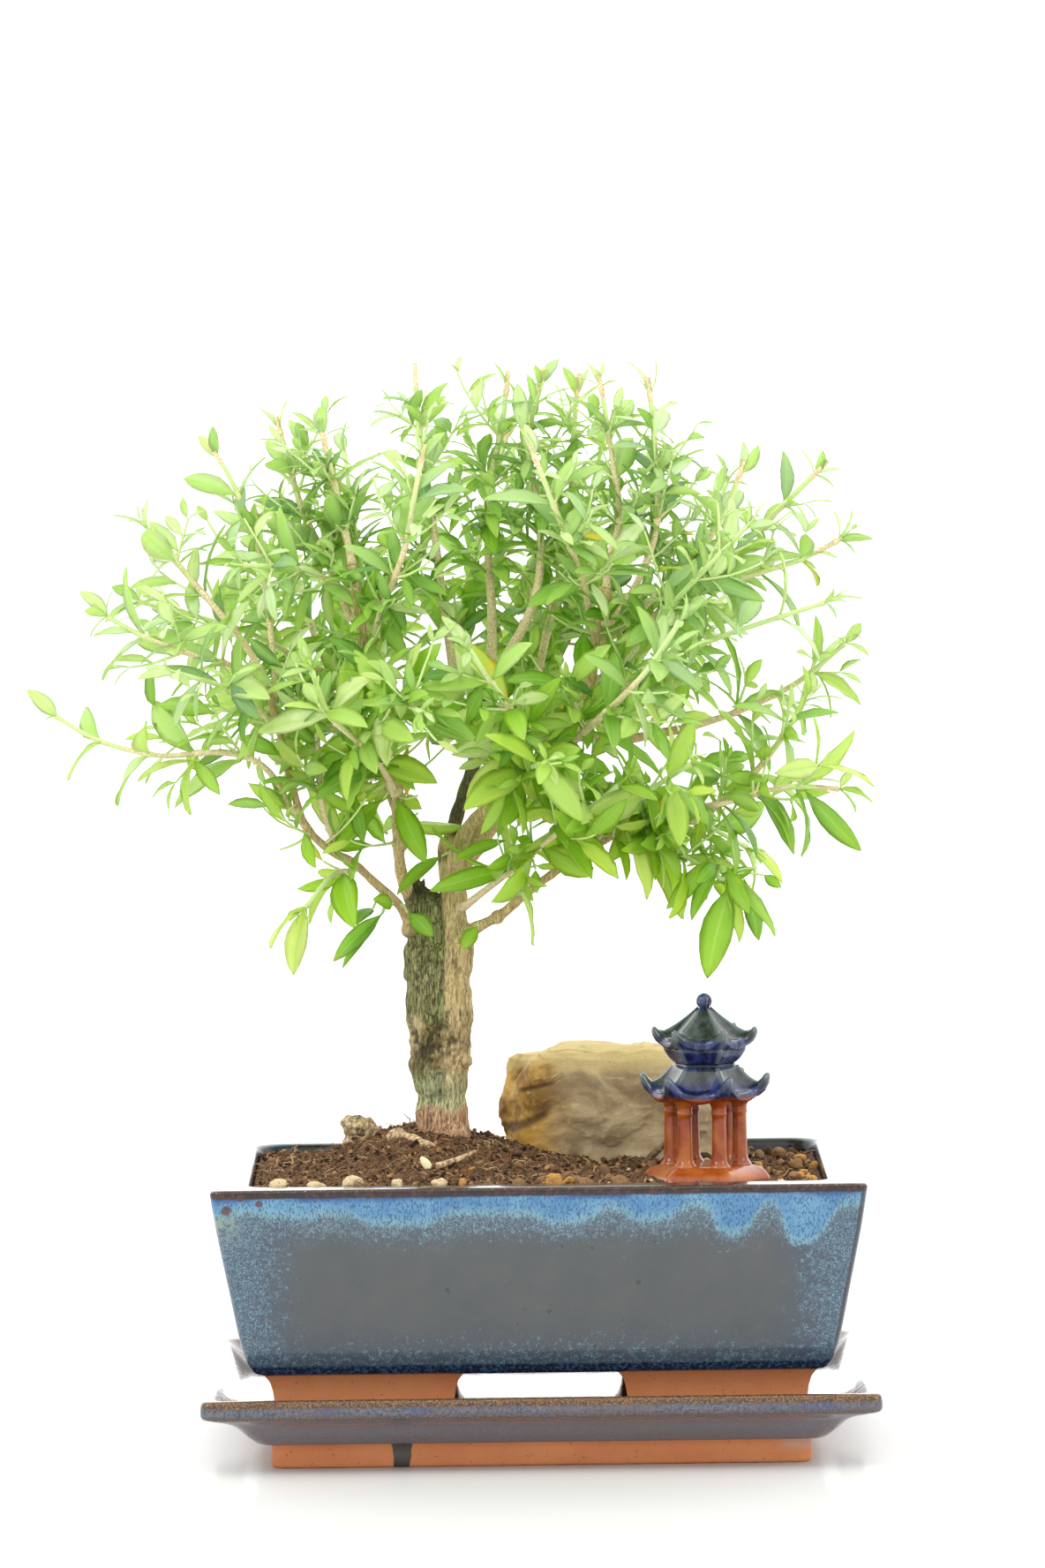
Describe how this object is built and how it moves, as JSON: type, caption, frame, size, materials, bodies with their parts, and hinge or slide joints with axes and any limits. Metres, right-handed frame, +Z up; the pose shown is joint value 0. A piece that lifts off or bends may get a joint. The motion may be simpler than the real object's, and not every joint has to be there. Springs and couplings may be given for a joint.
{
  "type": "serissa bonsai",
  "caption": "Small serissa bonsai with a leafy rounded crown in a glazed rectangular pot on a drip tray, dressed with a rock and a pagoda ornament.",
  "frame": {"origin": "middle of the drip tray's flat underside", "axes": "+Z up along the tree, -Y towards the front, +X to the right seen from the front"},
  "size_m": [0.2631, 0.1808, 0.3385],
  "materials": {
    "tray_glaze": "blue-brown gloss glaze over terracotta, bare terracotta foot",
    "pot_glaze": "slate-blue gloss glaze with pale blue runs under the rim, bare terracotta feet",
    "soil": "dark fibrous peat soil with baked clay granules",
    "bark": "fissured grey-green and tan bark",
    "sandstone": "matt ochre and grey sandstone",
    "pagoda_glaze": "cobalt blue gloss glaze on the roofs, red-brown glaze on columns and plinth",
    "old_root": "dry bleached root wood",
    "leaf": "thin living leaf on a pale green stem, satin above and paler below"
  },
  "bodies": {
    "root": {"dead_stem": "old_root", "drip_tray": "tray_glaze", "fallen_twig": "old_root", "fan_far": "leaf", "fan_high": "leaf", "fan_long": "leaf", "fan_mid": "leaf", "front_high": "leaf", "front_leader": "leaf", "front_left": "leaf", "front_mid": "leaf", "front_right": "leaf", "front_up": "leaf", "left_high": "leaf", "left_leader": "leaf", "left_low": "leaf", "left_mid": "leaf", "left_riser": "leaf", "left_tip": "leaf", "left_top": "leaf", "pagoda": "pagoda_glaze", "pot": "pot_glaze", "rear_end": "leaf", "rear_far": "leaf", "rear_left": "leaf", "rear_low": "leaf", "rear_mid": "leaf", "rear_right": "leaf", "right_bare": "leaf", "right_inner": "leaf", "right_tip": "leaf", "rock": "sandstone", "root_stub": "old_root", "shoot_01": "leaf", "shoot_02": "leaf", "shoot_03": "leaf", "shoot_04": "leaf", "shoot_05": "leaf", "shoot_06": "leaf", "shoot_07": "leaf", "shoot_08": "leaf", "shoot_09": "leaf", "shoot_10": "leaf", "shoot_11": "leaf", "shoot_12": "leaf", "shoot_13": "leaf", "shoot_14": "leaf", "shoot_15": "leaf", "shoot_16": "leaf", "shoot_17": "leaf", "shoot_18": "leaf", "shoot_19": "leaf", "shoot_20": "leaf", "soil": "soil", "surface_root": "old_root", "top_left": "leaf", "top_mid": "leaf", "top_right": "leaf", "top_tan": "leaf", "trunk": "bark"}
  },
  "joints": []
}
